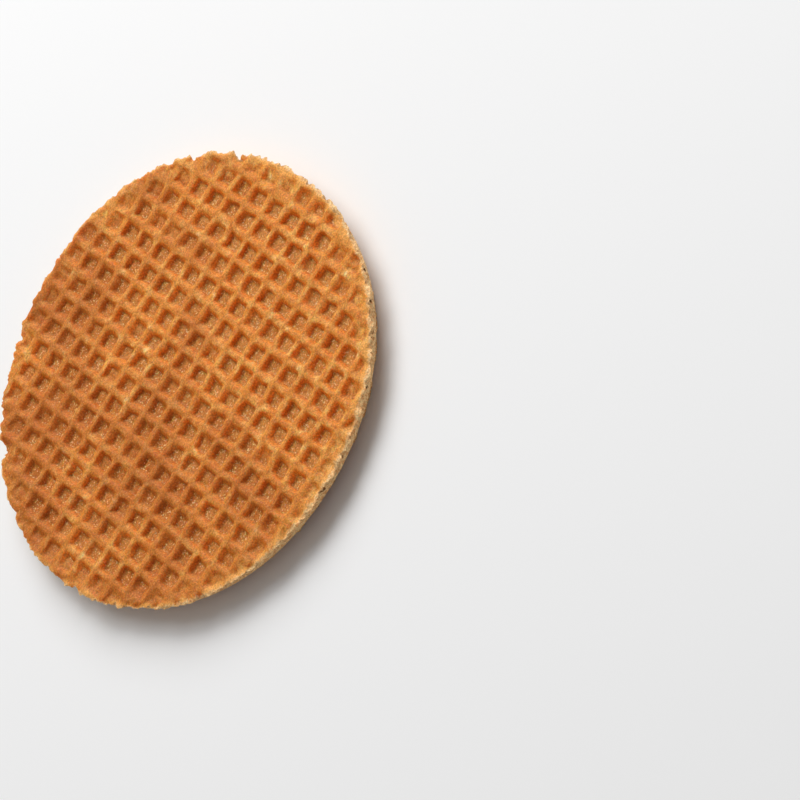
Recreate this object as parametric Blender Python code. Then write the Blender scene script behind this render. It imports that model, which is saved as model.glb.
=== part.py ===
"""Stroopwafel: two thin waffle halves with a layer of caramel syrup pressed between them.

The waffle is baked in an iron with a square grid, cut round, split through its middle,
filled and closed again. So both outer faces carry the iron's pits and ribs, and the two
inner faces are flat cuts. The lower half has slid back a little on the syrup.

Metres, +Z up. The origin is the middle of the underside, where the ribs rest.
"""

import math

import bmesh
import bpy

# The whole biscuit
MEAN_RADIUS = 0.0426
THICKNESS = 0.0055
GAP = 0.0003  # kept between pieces that touch

# Where the cut outline has its middle, and how it strays from a true circle: each lobe is
# (waves round the rim, height, turn)
RIM_MIDDLE = (0.00017, 0.00007)
RIM_LOBES = (
    (2, 0.00036, math.radians(-9.5)),
    (3, 0.00019, math.radians(-67.7)),
    (4, 0.00015, math.radians(45.0)),
)
RIM_SEGMENTS = 60

# The iron's grid
PITCH = 0.0046
PIT_OPENING = 0.83 * PITCH
PIT_FLOOR = 0.47 * PITCH
TOP_PIT_DEPTH = 0.0009
BOTTOM_PIT_DEPTH = 0.0008
TOP_GRID_OFFSET = (0.00007, -0.00111)  # where a crossing of ribs lies nearest the middle
BOTTOM_GRID_OFFSET = (0.0, 0.0)
TOP_PIT_MARGIN = 0.2 * PITCH  # a pit whose middle is nearer the rim than this is left out
BOTTOM_PIT_MARGIN = 0.5 * PITCH

# The halves and the filling, as heights above the surface it lies on
TOP_HALF_THICKNESS = 0.00215
SYRUP_THICKNESS = 0.0008
TOP_HALF_BASE = THICKNESS - TOP_HALF_THICKNESS
SYRUP_TOP = TOP_HALF_BASE - GAP
SYRUP_BASE = SYRUP_TOP - SYRUP_THICKNESS
BOTTOM_HALF_TOP = SYRUP_BASE - GAP

# The rim of each half, seen in section: a rounded crust shoulder over a rough cut wall
SHOULDER_WIDTH = 0.0028
SHOULDER_DROP = 0.0014
SHOULDER_STEPS = 3
SHOULDER_RISE = 0.00015  # the shoulder's curve runs this far past the ribs, so they cut it cleanly
WALL_DRAFT = 0.00025

# The lower half is a little smaller, and has slid back
BOTTOM_HALF_INSET = 0.0009
BOTTOM_HALF_MIDDLE = (RIM_MIDDLE[0], RIM_MIDDLE[1] + 0.0007)

# The syrup stops short of the rim by an uneven margin
SYRUP_INSET = 0.0019
SYRUP_MIDDLE = (RIM_MIDDLE[0], RIM_MIDDLE[1] + 0.0004)
SYRUP_LOBES = (
    (3, 0.00030, math.radians(20.0)),
    (5, 0.00028, math.radians(64.0)),
    (11, 0.00012, math.radians(8.0)),
)
SYRUP_EDGE_BULGE = 0.0002

CRUST_COLOUR = (0.49, 0.16, 0.038, 1.0)
UNDERSIDE_COLOUR = (0.42, 0.13, 0.030, 1.0)
SYRUP_COLOUR = (0.23, 0.055, 0.009, 1.0)


def clear_scene():
    for obj in list(bpy.data.objects):
        bpy.data.objects.remove(obj)


def food_material(name, colour, roughness):
    material = bpy.data.materials.new(name)
    material.use_nodes = True
    shader = material.node_tree.nodes["Principled BSDF"]
    shader.inputs["Base Color"].default_value = colour
    shader.inputs["Roughness"].default_value = roughness
    shader.inputs["Metallic"].default_value = 0.0
    return material


def new_object(name, bm, material=None):
    """Turns the mesh into an object, its faces pointing out."""
    bmesh.ops.recalc_face_normals(bm, faces=bm.faces)
    mesh = bpy.data.meshes.new(name)
    bm.to_mesh(mesh)
    bm.free()
    obj = bpy.data.objects.new(name, mesh)
    bpy.context.scene.collection.objects.link(obj)
    if material:
        mesh.materials.append(material)
    return obj


def lobed_radius(angle, radius, lobes):
    return radius + sum(height * math.cos(waves * (angle - turn)) for waves, height, turn in lobes)


def turned_disc(section, lobes, middle):
    """A closed disc whose wall follows the section, (radius, height) points from base to top.

    Each ring has the lobed outline of its radius, about the disc's own middle.
    """
    bm = bmesh.new()
    rings = []
    for radius, height in section:
        ring = []
        for step in range(RIM_SEGMENTS):
            angle = 2 * math.pi * step / RIM_SEGMENTS
            out = lobed_radius(angle, radius, lobes)
            x = middle[0] + out * math.cos(angle)
            y = middle[1] + out * math.sin(angle)
            ring.append(bm.verts.new((x, y, height)))
        rings.append(ring)
    for lower, upper in zip(rings, rings[1:]):
        for step in range(RIM_SEGMENTS):
            following = (step + 1) % RIM_SEGMENTS
            bm.faces.new((lower[step], lower[following], upper[following], upper[step]))
    bm.faces.new(rings[0])
    bm.faces.new(rings[-1])
    return bm


def half_section(radius, cut_height, face_height):
    """The rim of a half from its flat cut to just past its ribbed face, whichever way up it lies."""
    side = 1 if face_height > cut_height else -1
    wall_end = face_height - side * SHOULDER_DROP
    section = [(radius - WALL_DRAFT, cut_height)]
    for step in range(SHOULDER_STEPS + 1):
        turn = math.pi / 2 * step / SHOULDER_STEPS
        inset = SHOULDER_WIDTH * (1 - math.cos(turn))
        rise = (SHOULDER_DROP + SHOULDER_RISE) * math.sin(turn)
        section.append((radius - inset, wall_end + side * rise))
    return section


def grid_lines(offset, reach):
    """The two edges of every row of pits, across the whole face."""
    count = math.ceil(reach / PITCH)
    lines = []
    for row in range(-count, count):
        middle = offset + (row + 0.5) * PITCH
        lines += [middle - PIT_OPENING / 2, middle + PIT_OPENING / 2]
    return lines


def iron_plate(face_height, cut_height, pit_depth, grid_offset, middle, pit_reach):
    """A square slab with the iron's relief on its face, deep enough to reach past the flat cut.

    Its pits are those whose middles lie within pit_reach of the half's own middle.
    """
    reach = MEAN_RADIUS + PITCH
    side = 1 if face_height > cut_height else -1
    back_height = cut_height - side * GAP
    columns = grid_lines(grid_offset[0], reach)
    rows = grid_lines(grid_offset[1], reach)
    bm = bmesh.new()
    face = [[bm.verts.new((x, y, face_height)) for y in rows] for x in columns]
    pits = []
    for i in range(len(columns) - 1):
        for j in range(len(rows) - 1):
            corners = (face[i][j], face[i + 1][j], face[i + 1][j + 1], face[i][j + 1])
            quad = bm.faces.new(corners)
            is_cell = i % 2 == 0 and j % 2 == 0
            if is_cell and math.dist(quad.calc_center_median().xy, middle) < pit_reach:
                pits.append(quad)
    bmesh.ops.recalc_face_normals(bm, faces=bm.faces)
    for quad in bm.faces:
        if quad.normal.z * side < 0:
            quad.normal_flip()
    wall_run = (PIT_OPENING - PIT_FLOOR) / 2
    bmesh.ops.inset_individual(bm, faces=pits, thickness=wall_run, depth=0.0)
    for quad in pits:
        for vert in quad.verts:
            vert.co.z = face_height - side * pit_depth
    border = [edge for edge in bm.edges if edge.is_boundary]
    skirt = bmesh.ops.extrude_edge_only(bm, edges=border)["geom"]
    for vert in (item for item in skirt if isinstance(item, bmesh.types.BMVert)):
        vert.co.z = back_height
    bmesh.ops.contextual_create(bm, geom=[edge for edge in bm.edges if edge.is_boundary])
    return bm


def waffle_half(name, section, middle, plate, material):
    """A turned disc that keeps only what lies under the iron's relief."""
    half = new_object(name, turned_disc(section, RIM_LOBES, middle), material)
    iron = new_object(name + "_iron", plate)
    iron.hide_render = True
    iron.display_type = "WIRE"
    relief = half.modifiers.new("iron relief", "BOOLEAN")
    relief.operation = "INTERSECT"
    relief.solver = "EXACT"
    relief.object = iron
    return half


def build_top_half():
    section = half_section(MEAN_RADIUS, TOP_HALF_BASE, THICKNESS)
    pit_reach = MEAN_RADIUS - TOP_PIT_MARGIN
    plate = iron_plate(
        THICKNESS, TOP_HALF_BASE, TOP_PIT_DEPTH, TOP_GRID_OFFSET, RIM_MIDDLE, pit_reach
    )
    crust = food_material("baked crust", CRUST_COLOUR, 0.6)
    return waffle_half("wafer_top", section, RIM_MIDDLE, plate, crust)


def build_bottom_half():
    radius = MEAN_RADIUS - BOTTOM_HALF_INSET
    section = half_section(radius, BOTTOM_HALF_TOP, 0.0)
    pit_reach = radius - BOTTOM_PIT_MARGIN
    plate = iron_plate(
        0.0, BOTTOM_HALF_TOP, BOTTOM_PIT_DEPTH, BOTTOM_GRID_OFFSET, BOTTOM_HALF_MIDDLE, pit_reach
    )
    crust = food_material("baked crust, underside", UNDERSIDE_COLOUR, 0.65)
    return waffle_half("wafer_bottom", section, BOTTOM_HALF_MIDDLE, plate, crust)


def build_syrup():
    radius = MEAN_RADIUS - SYRUP_INSET
    middle = (SYRUP_BASE + SYRUP_TOP) / 2
    section = [
        (radius - SYRUP_EDGE_BULGE, SYRUP_BASE),
        (radius, middle),
        (radius - SYRUP_EDGE_BULGE, SYRUP_TOP),
    ]
    syrup = food_material("caramel syrup", SYRUP_COLOUR, 0.25)
    return new_object("syrup", turned_disc(section, SYRUP_LOBES, SYRUP_MIDDLE), syrup)


clear_scene()
build_bottom_half()
build_syrup()
build_top_half()
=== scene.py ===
"""Stroopwafel: the looks of two baked wafer halves with caramel syrup pressed between them.

Each half is pressed by a square iron, kneaded so that no two pits are alike, cut round with a
torn rim, and dressed in browned crust over pale crumb. The syrup shows in the seam of the rim.

Metres, +Z up. The origin is the middle of the underside, where the ribs rest. A half is
modelled face up, with its rib tops at height zero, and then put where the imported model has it.
"""

from __future__ import annotations

import logging
import math
from collections.abc import Callable, Iterator
from contextlib import contextmanager
from dataclasses import dataclass, field
from enum import Enum
from typing import Any

import bpy
import numpy as np
from mathutils import Matrix, Vector, noise


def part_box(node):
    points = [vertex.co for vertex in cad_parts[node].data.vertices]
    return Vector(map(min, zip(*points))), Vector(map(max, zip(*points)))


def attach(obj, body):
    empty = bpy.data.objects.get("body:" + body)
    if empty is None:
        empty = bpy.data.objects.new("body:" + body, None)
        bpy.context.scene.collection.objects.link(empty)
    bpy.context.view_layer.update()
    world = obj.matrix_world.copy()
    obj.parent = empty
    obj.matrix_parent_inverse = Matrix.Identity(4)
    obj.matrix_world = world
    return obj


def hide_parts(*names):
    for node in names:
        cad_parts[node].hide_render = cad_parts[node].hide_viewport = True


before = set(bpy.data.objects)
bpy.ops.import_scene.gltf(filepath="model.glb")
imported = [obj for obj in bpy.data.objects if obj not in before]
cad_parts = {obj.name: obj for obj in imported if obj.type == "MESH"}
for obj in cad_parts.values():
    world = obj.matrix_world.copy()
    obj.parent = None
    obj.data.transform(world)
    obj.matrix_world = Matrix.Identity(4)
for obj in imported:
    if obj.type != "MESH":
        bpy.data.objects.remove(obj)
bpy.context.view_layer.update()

LOG = logging.getLogger("stroopwafel")

MM = 0.001
Points = np.ndarray
Rule = Callable[[Points], np.ndarray]


class Pick(Enum):
    """What edit mode selects."""

    POINTS = (True, False, False)
    EDGES = (False, True, False)
    FACES = (False, False, True)


class Along(Enum):
    """The direction in which a displacement moves the surface."""

    X = "X"
    Y = "Y"
    Z = "Z"
    OUTWARDS = "NORMAL"


class Grain(Enum):
    """The kind of noise that lumps take their form from."""

    SOFT = "BLENDER"
    SWIRLED = "PERLIN_ORIGINAL"
    EVEN = "PERLIN_NEW"
    BUBBLES = "VORONOI_F1"


# ---------------------------------------------------------------- modelling by hand


def only(piece: bpy.types.Object) -> None:
    """Deselects everything else and makes the piece the active one."""
    bpy.ops.object.select_all(action="DESELECT")
    piece.select_set(True)
    bpy.context.view_layer.objects.active = piece


@contextmanager
def editing(piece: bpy.types.Object, pick: Pick) -> Iterator[None]:
    """Opens the piece in edit mode, and closes it afterwards.

    Args:
        piece: the object to edit.
        pick: what the selection holds.
    """
    only(piece)
    bpy.context.tool_settings.mesh_select_mode = pick.value
    bpy.ops.object.mode_set(mode="EDIT")
    yield
    bpy.ops.object.mode_set(mode="OBJECT")


def points_of(piece: bpy.types.Object) -> Points:
    """The piece's points, one row each."""
    flat = np.empty(len(piece.data.vertices) * 3, np.float32)
    piece.data.vertices.foreach_get("co", flat)
    return flat.reshape(-1, 3).astype(float)


def select_faces(piece: bpy.types.Object, rule: Rule) -> None:
    """Selects the faces whose middles pass the rule, and nothing else."""
    mesh = piece.data
    middles = np.empty(len(mesh.polygons) * 3, np.float32)
    mesh.polygons.foreach_get("center", middles)
    mesh.vertices.foreach_set("select", np.zeros(len(mesh.vertices), bool))
    mesh.edges.foreach_set("select", np.zeros(len(mesh.edges), bool))
    mesh.polygons.foreach_set("select", rule(middles.reshape(-1, 3)).astype(bool))


def select_edges(piece: bpy.types.Object, rule: Rule) -> None:
    """Selects the edges whose vectors from end to end pass the rule, and nothing else."""
    mesh = piece.data
    ends = np.empty(len(mesh.edges) * 2, np.int32)
    mesh.edges.foreach_get("vertices", ends)
    ends = ends.reshape(-1, 2)
    points = points_of(piece)
    chosen = rule(points[ends[:, 1]] - points[ends[:, 0]]).astype(bool)
    touched = np.zeros(len(mesh.vertices), bool)
    touched[ends[chosen].ravel()] = True
    mesh.polygons.foreach_set("select", np.zeros(len(mesh.polygons), bool))
    mesh.vertices.foreach_set("select", touched)
    mesh.edges.foreach_set("select", chosen)


def finish_modifier(piece: bpy.types.Object, modifier: bpy.types.Modifier) -> None:
    """Applies the modifier to the piece."""
    only(piece)
    bpy.ops.object.modifier_apply(modifier=modifier.name)


def weigh(piece: bpy.types.Object, name: str, weights: np.ndarray) -> None:
    """Gives the piece a vertex group.

    Args:
        piece: the object to weigh.
        name: the group's name.
        weights: one weight for each point, from 0 to 1.
    """
    group = piece.vertex_groups.new(name=name)
    for index in np.flatnonzero(weights > 0):
        group.add([int(index)], float(min(weights[index], 1)), "REPLACE")


def push(piece: bpy.types.Object, distances: np.ndarray, along: Along) -> None:
    """Moves each point by its own distance.

    Args:
        piece: the object to shape.
        distances: how far each point goes, below zero for the other way.
        along: which way a distance above zero goes.
    """
    for way in (1, -1):
        reach = (way * distances).max()
        if reach <= 0:
            continue
        weigh(piece, "push", way * distances / reach)
        modifier = piece.modifiers.new("push", "DISPLACE")
        modifier.direction = along.value
        modifier.vertex_group = "push"
        modifier.mid_level = 0.0
        modifier.strength = way * reach
        finish_modifier(piece, modifier)
        piece.vertex_groups.remove(piece.vertex_groups["push"])


def smooth_step(low: float, high: float, value: np.ndarray) -> np.ndarray:
    """0 below low, 1 above high, and an even rise between them. High may be below low."""
    share = np.clip((value - low) / (high - low), 0, 1)
    return share * share * (3 - 2 * share)


def keep_value(piece: bpy.types.Object, name: str, values: np.ndarray) -> None:
    """Stores one number for each point, for a material to read."""
    layer = piece.data.attributes.new(name, "FLOAT", "POINT")
    layer.data.foreach_set("value", values.astype(np.float32))


@dataclass(frozen=True)
class Lumps:
    """Unevenness of one size: how far apart its lumps are, and how high they usually stand."""

    spacing: float
    height: float
    along: Along
    grain: Grain = Grain.SOFT

    def at(self, points: Points) -> np.ndarray:
        """The height of the lumps at each point, above zero as often as below."""
        basis = self.grain.value
        places = (points / self.spacing).tolist()
        values = np.array([noise.noise(place, noise_basis=basis) for place in places])
        return self.height * (values - values.mean()) / values.std()

    def work_into(self, piece: bpy.types.Object, share: np.ndarray | float = 1.0) -> None:
        """Moves the piece's surface, each point by its share of the lumps' height."""
        push(piece, share * self.at(points_of(piece)), self.along)


# ---------------------------------------------------------------- shapes of the biscuit


@dataclass(frozen=True)
class Outline:
    """A nearly round outline: a circle about its middle with a few long waves in it."""

    middle: tuple[float, float]
    radius: float
    waves: tuple[tuple[int, float, float], ...]

    def edge_at(self, angle: np.ndarray) -> np.ndarray:
        """The radius in each direction, in radians from +X."""
        edge = np.full_like(angle, self.radius)
        for count, height, turn in self.waves:
            edge += height * np.cos(count * (angle - turn))
        return edge

    def inside(self, points: Points) -> np.ndarray:
        """How far inside the outline each point lies, seen from above."""
        x, y = points[:, 0] - self.middle[0], points[:, 1] - self.middle[1]
        return self.edge_at(np.arctan2(y, x)) - np.hypot(x, y)

    def bend(self, piece: bpy.types.Object) -> None:
        """Gives a piece that was made round about the middle this outline's waves."""
        points = points_of(piece)
        x, y = points[:, 0] - self.middle[0], points[:, 1] - self.middle[1]
        growth = self.edge_at(np.arctan2(y, x)) / self.radius - 1
        push(piece, x * growth, Along.X)
        push(piece, y * growth, Along.Y)


@dataclass(frozen=True)
class Iron:
    """One plate of the baking iron: a square grid of blunt pyramids that presses the pits."""

    crossing: tuple[float, float]
    pitch: float = 4.6 * MM
    rib_top: float = 0.88 * MM
    wall_run: float = 0.86 * MM
    depth: float = 1.0 * MM
    cells: int = 20
    strips: int = 4
    rim_reach: float = 7.0 * MM
    rim_fill: float = 0.68
    rib_sharpness: float = 0.2
    foot_sharpness: float = 0.5

    def press(self, name: str, outline: Outline) -> bpy.types.Object:
        """Makes a sheet with the iron's pits in it, its rib tops at height zero.

        Args:
            name: the new object's name.
            outline: what the sheet has to reach past.

        Returns:
            The sheet, an open mesh that faces up.
        """
        bpy.ops.object.select_all(action="DESELECT")
        bpy.ops.mesh.primitive_grid_add(
            x_subdivisions=self.cells,
            y_subdivisions=self.cells,
            size=self.cells * self.pitch,
            location=(*self.crossing, 0.0),
        )
        sheet = bpy.context.object
        sheet.name = sheet.data.name = name
        bpy.ops.object.transform_apply(location=True, rotation=False, scale=False)
        reach = 0.8 * self.pitch
        select_faces(sheet, lambda middles: outline.inside(middles) < -reach)
        with editing(sheet, Pick.FACES):
            bpy.ops.mesh.delete(type="FACE")
            bpy.ops.mesh.select_all(action="SELECT")
            bpy.ops.mesh.inset(thickness=self.rib_top / 2, use_individual=True)
            for _ in range(2):
                bpy.ops.mesh.inset(
                    thickness=self.wall_run / 2, depth=-self.depth / 2, use_individual=True
                )
        straight = self.pitch / 1000
        select_edges(sheet, lambda ends: np.abs(ends[:, :2]).min(axis=1) < straight)
        with editing(sheet, Pick.EDGES):
            bpy.ops.mesh.subdivide(number_cuts=self.strips - 1)
        self.sharpen(sheet)
        return sheet

    def from_rib(self, points: Points) -> np.ndarray:
        """How far each point lies from the nearest rib's middle line, seen from above."""
        place = (points[:, :2] - np.array(self.crossing)) / self.pitch % 1.0
        return (np.minimum(place, 1 - place) * self.pitch).min(axis=1)

    def sharpen(self, sheet: bpy.types.Object) -> None:
        """Creases the edges of the ribs and of the pits' floors, which smoothing then keeps."""
        mesh = sheet.data
        ends = np.empty(len(mesh.edges) * 2, np.int32)
        mesh.edges.foreach_get("vertices", ends)
        from_rib = self.from_rib(points_of(sheet))[ends.reshape(-1, 2)]
        creases = np.zeros(len(mesh.edges), np.float32)
        for ring, sharpness in (
            (self.rib_top / 2, self.rib_sharpness),
            (self.rib_top / 2 + self.wall_run, self.foot_sharpness),
        ):
            creases[(np.abs(from_rib - ring) < self.pitch / 1000).all(axis=1)] = sharpness
        layer = mesh.attributes.new("crease_edge", "FLOAT", "EDGE")
        layer.data.foreach_set("value", creases)

    def fill_in(self, sheet: bpy.types.Object, outline: Outline, seed: int) -> None:
        """Leaves dough in the pits, a different share of each pit's depth in each of them.

        Args:
            sheet: the pressed sheet.
            outline: the half's outline, near which the pits are shallow.
            seed: where the random shares start.
        """
        dice = np.random.default_rng(seed)
        shares = 0.22 * dice.random((self.cells, self.cells)) ** 2
        poor = dice.random(shares.shape) < 0.07
        shares[poor] += 0.28 * dice.random(poor.sum())
        points = points_of(sheet)
        start = np.array(self.crossing) - self.cells * self.pitch / 2
        column, row = np.clip(
            ((points[:, :2] - start) / self.pitch).astype(int), 0, self.cells - 1
        ).T
        near_rim = smooth_step(self.rim_reach, 0.1 * self.rim_reach, outline.inside(points))
        near_rim *= 0.5 + dice.random(shares.shape)[column, row]
        share = 1 - (1 - shares[column, row]) * (1 - self.rim_fill * near_rim)
        push(sheet, -share * points[:, 2], Along.Z)


@dataclass(frozen=True)
class Band:
    """A band along the rim with a ragged inner edge, from its least to its most width."""

    least: float
    most: float
    blur: float
    ragged: Lumps


@dataclass(frozen=True)
class Rim:
    """The edge of a half, from its rounded crust shoulder down the torn wall to the cut face."""

    shoulder_width: float = 1.6 * MM
    shoulder_drop: float = 0.5 * MM
    wall_step: float = 0.23 * MM
    draft: float = 1.5 * MM
    lip_width: float = 1.3 * MM
    lip_drop: float = 0.35 * MM
    headroom: float = 0.6 * MM
    tears: tuple[Lumps, ...] = (
        Lumps(3.2 * MM, 0.18 * MM, Along.OUTWARDS),
        Lumps(1.1 * MM, 0.22 * MM, Along.OUTWARDS, Grain.SWIRLED),
        Lumps(0.55 * MM, 0.13 * MM, Along.OUTWARDS, Grain.BUBBLES),
    )
    rib_end: float = 0.35 * MM
    # The pale lip and torn crumb bands are widest on this side, which the key light doesn't reach:
    # partly the cut rim's own pale crumb, partly painted light in place of a lit rim.
    pale_side: float = math.radians(-60.0)
    torn: Band = Band(0.25 * MM, 1.1 * MM, 0.12 * MM, Lumps(0.5 * MM, 0.13 * MM, Along.OUTWARDS))
    lip: Band = Band(0.5 * MM, 1.8 * MM, 0.5 * MM, Lumps(2.5 * MM, 0.4 * MM, Along.OUTWARDS))

    def shoulder(self, inside: np.ndarray) -> np.ndarray:
        """The share of the shoulder's drop at each distance inside the outline."""
        share = np.clip(1 - inside / self.shoulder_width, 0, 1)
        return 1 - np.sqrt(1 - np.minimum(share, 0.97) ** 2)

    def covered(self, band: Band, points: Points, outline: Outline) -> np.ndarray:
        """The share of a band along the rim that each point has.

        Args:
            band: the band, widest on the pale side.
            points: the points of a half.
            outline: its outline.

        Returns:
            1 for each point in the band, 0 for those outside it.
        """
        x, y = points[:, 0] - outline.middle[0], points[:, 1] - outline.middle[1]
        side = 0.5 + 0.5 * np.cos(np.arctan2(y, x) - self.pale_side)
        width = band.least + (band.most - band.least) * side
        beyond = outline.inside(points) + band.ragged.at(points) - width
        return smooth_step(band.blur, -band.blur, beyond)

    def cutter(self, outline: Outline, iron: Iron, thickness: float) -> bpy.types.Object:
        """Makes the solid that cuts a half round: torn at its side, dished at its base.

        Args:
            outline: the outline to cut.
            iron: the iron that pressed the half.
            thickness: how far below the rib tops the flat cut lies.

        Returns:
            The cutter, a closed mesh.
        """
        count = round(2 * math.pi * outline.radius / self.wall_step)
        base = -thickness - self.lip_drop
        levels = round((self.headroom - base) / self.wall_step)
        bpy.ops.object.select_all(action="DESELECT")
        bpy.ops.mesh.primitive_circle_add(
            vertices=count,
            radius=outline.radius,
            fill_type="NGON",
            location=(*outline.middle, self.headroom),
        )
        cutter = bpy.context.object
        cutter.name = cutter.data.name = "cutter"
        bpy.ops.object.transform_apply(location=True, rotation=False, scale=False)
        down = {"value": (0.0, 0.0, (base - self.headroom) / levels)}
        with editing(cutter, Pick.FACES):
            bpy.ops.mesh.select_all(action="SELECT")
            for _ in range(levels):
                bpy.ops.mesh.extrude_region_move(TRANSFORM_OT_translate=down)
            for _ in range(2):
                bpy.ops.mesh.inset(thickness=self.lip_width, depth=0.0)
            bpy.ops.transform.translate(value=(0.0, 0.0, self.lip_drop))
            bpy.ops.mesh.select_all(action="SELECT")
            bpy.ops.mesh.normals_make_consistent(inside=False)
        outline.bend(cutter)
        self.tear(cutter, outline, iron, base)
        return cutter

    def tear(
        self, cutter: bpy.types.Object, outline: Outline, iron: Iron, base: float
    ) -> None:
        """Bites unevenly into the cutter's wall, and slants it inwards towards its base.

        The dough is thickest at the end of a rib, so it holds together best there.

        Args:
            cutter: the cutter, smooth so far.
            outline: its outline.
            iron: the iron that pressed the half.
            base: the height of its base.
        """
        points = points_of(cutter)
        wall = (outline.inside(points) < self.wall_step) & (points[:, 2] < self.headroom / 2)
        bites = sum(tear.at(points) for tear in self.tears)
        bites = np.minimum(bites, bites.std()) - bites.std()
        bites -= self.rib_end * smooth_step(0.1, 0.4, iron.from_rib(points) / iron.pitch)
        slant = -self.draft * np.clip(points[:, 2] / base, 0, 1)
        push(cutter, wall * (bites + slant), Along.OUTWARDS)


# ---------------------------------------------------------------- finishes


def linear(colour: str) -> tuple[float, float, float, float]:
    """An sRGB hex colour as the linear colour that a shader takes."""
    shares = [int(colour[i : i + 2], 16) / 255 for i in (1, 3, 5)]
    return (*(s / 12.92 if s <= 0.04045 else ((s + 0.055) / 1.055) ** 2.4 for s in shares), 1.0)


def add_node(
    tree: bpy.types.NodeTree,
    kind: str,
    settings: dict[str | int, Any] | None = None,
    links: dict[str | int, bpy.types.NodeSocket] | None = None,
) -> bpy.types.Node:
    """Adds a node to a material.

    Args:
        tree: the material's node tree.
        kind: the node's type, without the ShaderNode in front of it.
        settings: values for its options, by name, and for its inputs, by name or number.
        links: the sockets that its inputs take their values from, by name or number.

    Returns:
        The node. Its first enabled output is what others link to.
    """
    node = tree.nodes.new("ShaderNode" + kind)
    for name, value in (settings or {}).items():
        if hasattr(node, str(name)):
            setattr(node, str(name), value)
    inputs = dict(enumerate(node.inputs))
    inputs |= {socket.name: socket for socket in reversed(list(node.inputs)) if socket.enabled}
    for name, value in (settings or {}).items():
        if name in inputs:
            inputs[name].default_value = value
    for name, socket in (links or {}).items():
        tree.links.new(socket, inputs[name])
    return node


def result(node: bpy.types.Node) -> bpy.types.NodeSocket:
    """The first output of a node that is in use."""
    return next(socket for socket in node.outputs if socket.enabled)


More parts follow.
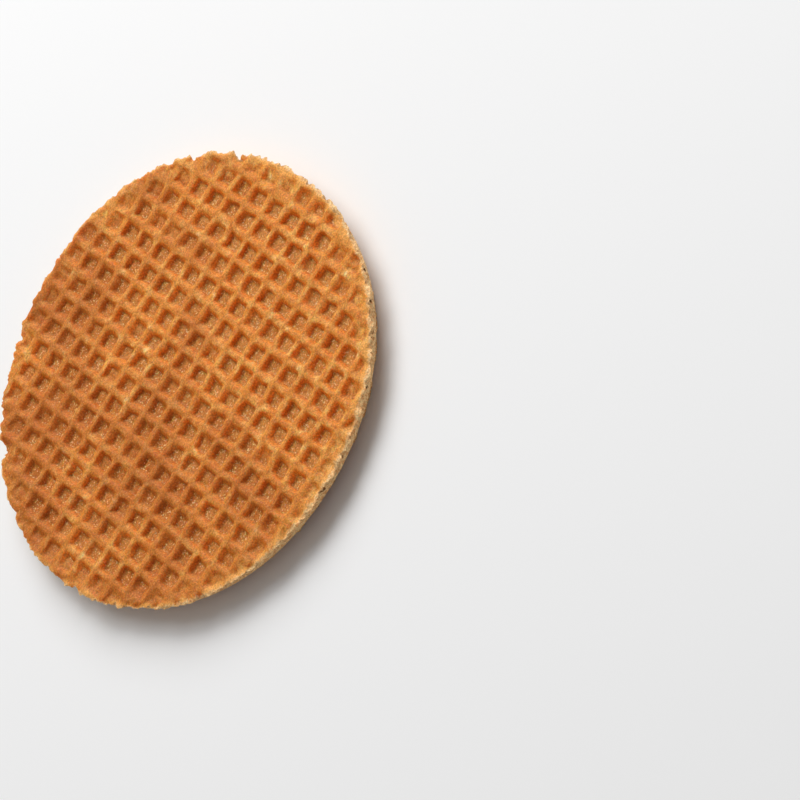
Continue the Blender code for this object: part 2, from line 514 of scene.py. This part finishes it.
@dataclass(frozen=True)
class Wafer:
    """Baked wafer dough: a thin caramelised crust, semi-matt with fat, over pale open crumb.

    Its steep pit walls take a deep, saturated orange, strongest on the walls that face away from
    the key light, and the feet of the walls a darker brown: painted shade, in place of the dim,
    glowing walls of the pits. Sugar and fat spread the rest unevenly: pale and reddish patches on
    the ribs, browner zones, a sandy grain with glossy specks in the pits. The browner zones also
    lean darker towards -X and +Y, a painted shading gradient across the face. Light soaks into the
    crust, so a thin rib glows orange on its shaded side. The crumb shows where it was cut.
    """

    name: str
    rib: str = "#D58733"
    pale_patch: str = "#E6AC58"
    scar: str = "#EFCB84"
    red_patch: str = "#BE6628"
    # Painted shade: the deep, saturated orange of steep pit walls, mostly those facing away from the
    # key light.
    flank: str = "#E47208"
    # Painted shade: the darker brown at the feet of the pit walls, where the pits' creases lie.
    shaded_foot: str = "#A84A0C"
    floor: str = "#C57D35"
    # Browner zones at random, which the zone lean also darkens towards -X and +Y as painted shade.
    darkened: str = "#B5641E"
    lip: str = "#ECA653"
    crumb: str = "#F5CC90"
    crumb_shade: str = "#D8985C"
    speck: str = "#ECC68A"
    zone_size: float = 14.0 * MM
    # Painted shading gradient: how strongly the browner tone leans towards -X and +Y across the face.
    shade_lean: tuple[float, float, float] = (3.6, -2.4, 0.0)
    patch_size: float = 2.4 * MM
    fleck_size: float = 0.85 * MM
    grain_size: float = 0.32 * MM
    speck_size: float = 0.34 * MM
    crumb_size: float = 0.5 * MM
    grain_height: float = 0.1 * MM
    rib_grain: float = 0.28
    pit_grain: float = 0.28
    fleck_height: float = 0.05 * MM
    ior: float = 1.45
    glow: tuple[float, float, float] = (1.0, 0.22, 0.06)
    glow_depth: float = 1.8 * MM
    soak: float = 0.7
    shine: float = 0.25

    def material(self) -> bpy.types.Material:
        """Builds the material from the pattern sizes and colours."""
        material = bpy.data.materials.new(self.name)
        material.use_nodes = True
        tree = material.node_tree
        shader = tree.nodes["Principled BSDF"]
        place = add_node(tree, "TexCoord").outputs["Object"]
        sunk, flank, lip, crumb = (
            add_node(tree, "Attribute", {"attribute_name": name}).outputs["Fac"]
            for name in ("sunk", "flank", "lip", "crumb")
        )

        patterns = {}
        for name, size, detail in (
            ("zones", self.zone_size, 2.0),
            ("patches", self.patch_size, 3.0),
            ("flecks", self.fleck_size, 2.0),
            ("grain", self.grain_size, 2.0),
            ("specks", self.speck_size, 1.0),
            ("pores", self.crumb_size, 3.0),
        ):
            settings = {"Scale": 1 / size, "Detail": detail}
            patterns[name] = result(add_node(tree, "TexNoise", settings, {"Vector": place}))

        # The browner tone follows random zones, and leans darker towards -X and +Y: a painted shading
        # gradient across the face.
        settings = {"operation": "DOT_PRODUCT", 1: self.shade_lean}
        shade_gradient = result(add_node(tree, "VectorMath", settings, {0: place}))
        zones_and_shade = add_node(tree, "Math", {"operation": "ADD"}, {0: shade_gradient, 1: patterns["zones"]})

        # Each layer lies over the ones before it, by a share that rises from 0 to the most
        # between a low and a high value. The most may itself change over the surface.
        sandy = {"From Min": 0.75, "From Max": 0.95, "To Min": 0.15, "To Max": 0.85}
        sandy = result(add_node(tree, "MapRange", sandy, {"Value": sunk}))
        colour = None
        for over, value, low, high, most in (
            (self.pale_patch, patterns["patches"], 0.48, 0.64, 0.85),
            (self.scar, patterns["patches"], 0.66, 0.72, 0.9),
            (self.red_patch, patterns["flecks"], 0.5, 0.66, 0.55),
            # Painted shade: steep pit walls turn deep orange, fully where they face away from the key
            # light.
            (self.flank, flank, 0.0, 1.0, 0.9),
            # Painted shade: the feet of the walls darken towards the pit floors.
            (self.shaded_foot, sunk, 0.35, 0.8, 0.45),
            (self.floor, sunk, 0.8, 0.97, 0.9),
            # Random browner zones, with the painted shading gradient across the face.
            (self.darkened, result(zones_and_shade), 0.6, 0.3, 0.8),
            (self.lip, lip, 0.0, 1.0, 0.8),
            (self.crumb, crumb, 0.0, 1.0, 1.0),
            (self.crumb_shade, patterns["pores"], 0.6, 0.35, crumb),
            (self.speck, patterns["specks"], 0.58, 0.72, sandy),
        ):
            links = {"Value": value}
            settings = {"From Min": low, "From Max": high}
            if isinstance(most, float):
                settings["To Max"] = most
            else:
                links["To Max"] = most
            amount = result(add_node(tree, "MapRange", settings, links))
            settings = {"data_type": "RGBA", "A": linear(self.rib), "B": linear(over)}
            links = {"Factor": amount} | ({"A": colour} if colour else {})
            colour = result(add_node(tree, "Mix", settings, links))
        contrast = []
        for swing in (self.rib_grain, self.pit_grain):
            settings = {"From Min": 0.3, "From Max": 0.7, "To Min": 1 - swing, "To Max": 1 + swing}
            contrast.append(result(add_node(tree, "MapRange", settings, {"Value": patterns["grain"]})))
        settings = {"data_type": "FLOAT"}
        grain = add_node(tree, "Mix", settings, {"Factor": sunk, "A": contrast[0], "B": contrast[1]})
        grainy = add_node(
            tree,
            "Mix",
            {"data_type": "RGBA", "blend_type": "MULTIPLY", "Factor": 1.0},
            {"A": colour, "B": result(grain)},
        )
        settings = {"From Min": 0.66, "From Max": 0.76, "To Min": 0.58, "To Max": 0.38}
        gloss = add_node(tree, "MapRange", settings, {"Value": patterns["specks"]})
        relief = None
        for height, value in (
            (self.fleck_height, patterns["flecks"]),
            (self.grain_height, patterns["grain"]),
        ):
            links = {"Height": value} | ({"Normal": relief} if relief else {})
            relief = result(add_node(tree, "Bump", {"Strength": 1.0, "Distance": height}, links))
        tree.links.new(result(grainy), shader.inputs["Base Color"])
        tree.links.new(result(gloss), shader.inputs["Roughness"])
        tree.links.new(relief, shader.inputs["Normal"])
        pale = result(add_node(tree, "Math", {"operation": "MAXIMUM"}, {0: lip, 1: crumb}))
        soaked = add_node(tree, "MapRange", {"To Min": self.soak, "To Max": 0.0}, {"Value": pale})
        tree.links.new(result(soaked), shader.inputs["Subsurface Weight"])
        shader.inputs["IOR"].default_value = self.ior
        shader.inputs["Specular IOR Level"].default_value = self.shine
        shader.inputs["Subsurface Radius"].default_value = self.glow
        shader.inputs["Subsurface Scale"].default_value = self.glow_depth
        return material


@dataclass(frozen=True)
class CaramelSyrup:
    """Boiled sugar and butter syrup, set to a chewy gloss: dark amber and slightly cloudy."""

    name: str = "set caramel syrup"
    thick: str = "#7A3E12"
    thin: str = "#A8611F"
    swirl_size: float = 3.0 * MM
    roughness: float = 0.22
    ior: float = 1.48

    def material(self) -> bpy.types.Material:
        """Builds the material."""
        material = bpy.data.materials.new(self.name)
        material.use_nodes = True
        tree = material.node_tree
        shader = tree.nodes["Principled BSDF"]
        place = add_node(tree, "TexCoord").outputs["Object"]
        swirls = add_node(
            tree, "TexNoise", {"Scale": 1 / self.swirl_size, "Detail": 2.0}, {"Vector": place}
        )
        colour = add_node(
            tree,
            "Mix",
            {"data_type": "RGBA", "A": linear(self.thick), "B": linear(self.thin)},
            {"Factor": result(swirls)},
        )
        tree.links.new(result(colour), shader.inputs["Base Color"])
        shader.inputs["Roughness"].default_value = self.roughness
        shader.inputs["IOR"].default_value = self.ior
        return material


# ---------------------------------------------------------------- the pieces


@dataclass(frozen=True)
class WaferHalf:
    """One half of the split waffle: a ribbed, browned face over a flat, dished cut."""

    name: str
    node: str
    face_up: bool
    iron: Iron
    rim: Rim
    finish: Wafer
    wave_shift: tuple[float, float]
    seed: int
    slot: str = "crust"
    waves: tuple[tuple[int, float, float], ...] = (
        (2, 0.36 * MM, math.radians(-9.5)),
        (3, 0.19 * MM, math.radians(-67.7)),
        (4, 0.15 * MM, math.radians(45.0)),
    )
    # Painted shade: pit walls facing this way, away from the key light, take the full deep orange, and
    # those facing the other way only the least share.
    shaded_side: float = math.radians(-128.0)
    lit_flank_share: float = 0.15
    crumb_reach: float = 0.15 * MM
    seam: float = 0.2 * MM
    warps: tuple[Lumps, ...] = (
        Lumps(2.6 * MM, 0.11 * MM, Along.X, Grain.SOFT),
        Lumps(2.4 * MM, 0.11 * MM, Along.Y, Grain.SWIRLED),
        Lumps(0.9 * MM, 0.08 * MM, Along.X, Grain.EVEN),
        Lumps(0.8 * MM, 0.08 * MM, Along.Y, Grain.SOFT),
        Lumps(6.0 * MM, 0.04 * MM, Along.Z, Grain.EVEN),
        Lumps(1.3 * MM, 0.06 * MM, Along.Z, Grain.SOFT),
    )
    drips: Lumps = Lumps(1.5 * MM, 0.13 * MM, Along.Z, Grain.SWIRLED)
    pimples: tuple[Lumps, ...] = (
        Lumps(0.9 * MM, 0.022 * MM, Along.Z, Grain.SWIRLED),
        Lumps(0.5 * MM, 0.018 * MM, Along.Z, Grain.BUBBLES),
    )

    def outline(self) -> Outline:
        """The outline of this half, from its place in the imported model."""
        low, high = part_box(self.node)
        middle = tuple((low[i] + high[i]) / 2 + self.wave_shift[i] for i in (0, 1))
        return Outline(middle, (high.x - low.x) / 2 - self.crumb_reach, self.waves)

    def bake(self) -> bpy.types.Object:
        """Presses, kneads and cuts the half, and puts it in its place.

        Returns:
            The finished piece.
        """
        outline = self.outline()
        half = self.iron.press(self.name, outline)
        self.iron.fill_in(half, outline, self.seed)
        for warp in self.warps:
            warp.work_into(half)
        inside = outline.inside(points_of(half))
        self.drips.work_into(half, smooth_step(self.iron.rim_reach, 0.0, inside))
        smooth = half.modifiers.new("smooth", "SUBSURF")
        smooth.levels = smooth.render_levels = 1
        finish_modifier(half, smooth)
        for pimple in self.pimples:
            pimple.work_into(half)
        shoulder = self.rim.shoulder(outline.inside(points_of(half)))
        push(half, -self.rim.shoulder_drop * shoulder, Along.Z)
        low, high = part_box(self.node)
        crest = points_of(half)[:, 2].max()
        thickness = high.z - low.z + self.seam - crest
        self.thicken(half, thickness)
        self.cut(half, outline, thickness)
        self.mark(half, outline)
        self.put_down(half, crest)
        return half

    def thicken(self, half: bpy.types.Object, thickness: float) -> None:
        """Draws the sheet's border down past the cut face, and closes it."""
        depth = thickness + 2 * self.rim.lip_drop
        with editing(half, Pick.POINTS):
            bpy.ops.mesh.select_all(action="DESELECT")
            bpy.ops.mesh.select_non_manifold()
            bpy.ops.mesh.extrude_region_move(
                TRANSFORM_OT_translate={"value": (0.0, 0.0, -depth)}
            )
            bpy.ops.transform.resize(value=(1.0, 1.0, 0.0), center_override=(0, 0, -depth))
            bpy.ops.mesh.edge_face_add()
            bpy.ops.mesh.select_all(action="SELECT")
            bpy.ops.mesh.normals_make_consistent(inside=False)

    def cut(self, half: bpy.types.Object, outline: Outline, thickness: float) -> None:
        """Cuts the half out of its sheet. The faces that the cutter leaves are crumb.

        Args:
            half: the sheet, thickened.
            outline: the outline to cut.
            thickness: how far below the rib tops the flat cut lies.
        """
        cutter = self.rim.cutter(outline, self.iron, thickness)
        half.data.materials.append(self.finish.material())
        cutter.data.materials.append(bpy.data.materials.new("cut"))
        modifier = half.modifiers.new("cut", "BOOLEAN")
        modifier.operation = "INTERSECT"
        modifier.solver = "MANIFOLD"
        modifier.material_mode = "TRANSFER"
        modifier.object = cutter
        finish_modifier(half, modifier)
        bpy.data.objects.remove(cutter)

    def mark(self, half: bpy.types.Object, outline: Outline) -> None:
        """Stores where the half is sunk, where its lip is and where its crumb shows."""
        mesh = half.data
        points = points_of(half)
        inside = outline.inside(points)
        crest = -self.rim.shoulder_drop * self.rim.shoulder(inside)
        keep_value(half, "sunk", smooth_step(0.1, 0.9, (crest - points[:, 2]) / self.iron.depth))
        keep_value(half, "lip", self.rim.covered(self.rim.lip, points, outline))
        normals = np.empty(len(points) * 3, np.float32)
        mesh.vertices.foreach_get("normal", normals)
        x, y, z = normals.reshape(-1, 3).T
        # Painted shade: the share of deep orange on steep walls, full on walls facing away from the
        # key light.
        darkened = 0.5 + 0.5 * np.cos(np.arctan2(y, x) - self.shaded_side)
        steep = smooth_step(0.01, 0.25, 1 - np.abs(z))
        keep_value(half, "flank", steep * (self.lit_flank_share + (1 - self.lit_flank_share) * darkened))
        cut = np.empty(len(mesh.polygons), np.int32)
        mesh.polygons.foreach_get("material_index", cut)
        corners = np.empty(len(mesh.loops), np.int32)
        mesh.loops.foreach_get("vertex_index", corners)
        sizes = np.empty(len(mesh.polygons), np.int32)
        mesh.polygons.foreach_get("loop_total", sizes)
        total = np.bincount(corners, np.repeat(cut, sizes), len(points))
        bare = total / np.bincount(corners, minlength=len(points))
        torn = self.rim.covered(self.rim.torn, points, outline)
        keep_value(half, "crumb", np.maximum(bare, torn))
        mesh.polygons.foreach_set("material_index", np.zeros_like(cut))
        mesh.materials.pop()
        only(half)
        bpy.ops.object.shade_smooth_by_angle(angle=math.radians(50))

    def put_down(self, half: bpy.types.Object, crest: float) -> None:
        """Moves the half to its height, the lower one turned face down.

        Args:
            half: the finished half, face up.
            crest: the height of its highest lump.
        """
        low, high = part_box(self.node)
        half.location.z = high.z - crest
        if not self.face_up:
            half.scale.z = -1.0
            half.location.z = low.z + crest
        only(half)
        bpy.ops.object.transform_apply(location=True, rotation=False, scale=True)
        if not self.face_up:
            with editing(half, Pick.FACES):
                bpy.ops.mesh.select_all(action="SELECT")
                bpy.ops.mesh.normals_make_consistent(inside=False)

    def build(self) -> bpy.types.Object:
        """Bakes the half and lets it stand for its node."""
        half = self.bake()
        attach(half, "root")
        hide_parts(self.node)
        return half


@dataclass(frozen=True)
class SyrupLayer:
    """The syrup between the halves: a flat pool, and a thin ragged fringe in the seam."""

    name: str = "syrup_layer"
    node: str = "syrup"
    slot: str = "syrup"
    finish: CaramelSyrup = field(default_factory=CaramelSyrup)
    margin: float = 0.8 * MM
    fringe_width: float = 0.9 * MM
    fringe_thickness: float = 0.16 * MM
    squeeze: float = 0.1 * MM
    sides: int = 360
    waves: tuple[tuple[int, float, float], ...] = (
        (3, 0.30 * MM, 0.35),
        (5, 0.28 * MM, 1.1),
        (11, 0.20 * MM, 0.14),
        (23, 0.15 * MM, 0.5),
    )

    def build(self) -> bpy.types.Object:
        """Pours the layer and lets it stand for its node."""
        low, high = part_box(self.node)
        middle = (low + high) / 2
        radius = (high.x - low.x) / 2 - self.margin
        base = middle.z - self.fringe_thickness / 2
        swell = (high.z - low.z - self.fringe_thickness) / 2 + self.squeeze
        bpy.ops.object.select_all(action="DESELECT")
        bpy.ops.mesh.primitive_circle_add(
            vertices=self.sides,
            radius=radius,
            fill_type="NGON",
            location=(middle.x, middle.y, base),
        )
        syrup = bpy.context.object
        syrup.name = syrup.data.name = self.name
        bpy.ops.object.transform_apply(location=True, rotation=False, scale=False)
        up = {"value": (0.0, 0.0, self.fringe_thickness)}
        with editing(syrup, Pick.FACES):
            bpy.ops.mesh.select_all(action="SELECT")
            bpy.ops.mesh.extrude_region_move(TRANSFORM_OT_translate=up)
            self.swell_out(swell)
        select_faces(syrup, lambda middles: middles[:, 2] < base + self.fringe_thickness / 4)
        with editing(syrup, Pick.FACES):
            self.swell_out(swell)
            bpy.ops.mesh.select_all(action="SELECT")
            bpy.ops.mesh.normals_make_consistent(inside=False)
        Outline((middle.x, middle.y), radius, self.waves).bend(syrup)
        syrup.data.materials.append(self.finish.material())
        only(syrup)
        bpy.ops.object.shade_smooth_by_angle(angle=math.radians(60))
        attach(syrup, "root")
        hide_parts(self.node)
        return syrup

    def swell_out(self, height: float) -> None:
        """Raises the selected face inside the fringe, in edit mode."""
        for rise in (0.0, height, 0.0):
            bpy.ops.mesh.inset(thickness=self.fringe_width, depth=rise)


# ---------------------------------------------------------------- the studio


@dataclass(frozen=True)
class Softbox:
    """A round soft light that shines on the biscuit."""

    name: str
    azimuth: float
    elevation: float
    power: float
    size: float = 0.9
    distance: float = 1.2

    def hang(self) -> None:
        """Hangs the light in its direction, facing the origin."""
        turn, lift = math.radians(self.azimuth), math.radians(self.elevation)
        towards = Vector(
            (math.cos(turn) * math.cos(lift), math.sin(turn) * math.cos(lift), math.sin(lift))
        )
        bpy.ops.object.light_add(type="AREA", location=towards * self.distance)
        lamp = bpy.context.object
        lamp.name = self.name
        lamp.rotation_euler = towards.to_track_quat("Z", "Y").to_euler()
        lamp.data.shape = "DISK"
        lamp.data.size = self.size
        lamp.data.energy = self.power


@dataclass(frozen=True)
class Studio:
    """A pale floor, soft light from behind on the right, and the camera."""

    floor_size: float = 3.0
    floor_colour: str = "#F4F4F4"
    softboxes: tuple[Softbox, ...] = (
        Softbox("key", 42.0, 38.0, 11.1),
        Softbox("top", 65.0, 56.0, 5.5),
    )
    ambient: float = 0.27
    aim: tuple[float, float, float] = (19.98 * MM, -46.53 * MM, 5.5 * MM)
    azimuth: float = 9.046
    elevation: float = 50.006
    distance: float = 785.2 * MM
    roll: float = -66.21
    lens: float = 206.12

    def floor(self) -> None:
        """Lays the floor."""
        bpy.ops.object.select_all(action="DESELECT")
        bpy.ops.mesh.primitive_grid_add(
            x_subdivisions=4, y_subdivisions=4, size=self.floor_size, location=(0, 0, 0)
        )
        floor = bpy.context.object
        floor.name = "floor"
        paper = bpy.data.materials.new("matt white paper")
        paper.use_nodes = True
        shader = paper.node_tree.nodes["Principled BSDF"]
        shader.inputs["Base Color"].default_value = linear(self.floor_colour)
        shader.inputs["Roughness"].default_value = 0.8
        shader.inputs["Specular IOR Level"].default_value = 0.2
        floor.data.materials.append(paper)

    def light(self) -> None:
        """Hangs the lights and fills the room with even light."""
        for softbox in self.softboxes:
            softbox.hang()
        world = bpy.data.worlds.new("room")
        bpy.context.scene.world = world
        world.use_nodes = True
        back = world.node_tree.nodes["Background"]
        back.inputs["Color"].default_value = (1.0, 1.0, 1.0, 1.0)
        back.inputs["Strength"].default_value = self.ambient

    def camera(self) -> None:
        """Sets up the camera, which looks down on the face and is rolled about its view."""
        turn, lift = math.radians(self.azimuth), math.radians(self.elevation)
        back = Vector(
            (math.sin(turn) * math.cos(lift), -math.cos(turn) * math.cos(lift), math.sin(lift))
        )
        right = Vector((math.cos(turn), math.sin(turn), 0.0))
        upright = Matrix((right, back.cross(right), back)).transposed()
        bpy.ops.object.camera_add(location=Vector(self.aim) + back * self.distance)
        camera = bpy.context.object
        camera.name = "camera"
        roll = Matrix.Rotation(math.radians(self.roll), 3, "Z")
        camera.rotation_euler = (upright @ roll).to_euler()
        camera.data.lens = self.lens
        camera.data.sensor_width = 36.0
        bpy.context.scene.camera = camera
        bpy.context.scene.view_settings.view_transform = "Standard"

    def set_up(self) -> None:
        """Sets up the whole studio."""
        self.floor()
        self.light()
        self.camera()


def main() -> None:
    """Builds the biscuit and the studio, and reports each piece."""
    logging.basicConfig(level=logging.INFO, format="%(name)s: %(message)s")
    upper = WaferHalf(
        name="wafer_upper",
        node="wafer_top",
        face_up=True,
        iron=Iron(crossing=(0.07 * MM, -1.11 * MM)),
        rim=Rim(),
        finish=Wafer("baked wafer, shown side"),
        wave_shift=(0.17 * MM, 0.07 * MM),
        seed=11,
    )
    lower = WaferHalf(
        name="wafer_lower",
        node="wafer_bottom",
        face_up=False,
        iron=Iron(crossing=(0.0, 0.0), depth=0.85 * MM),
        rim=Rim(shoulder_drop=1.3 * MM),
        finish=Wafer("baked wafer, underside", rib="#CB7626"),
        wave_shift=(0.17 * MM, 0.07 * MM),
        crumb_reach=0.9 * MM,
        seed=23,
    )
    for part in (upper, SyrupLayer(), lower):
        piece = part.build()
        LOG.info("%s: %d faces", piece.name, len(piece.data.polygons))
    Studio().set_up()


if __name__ == "__main__":
    main()
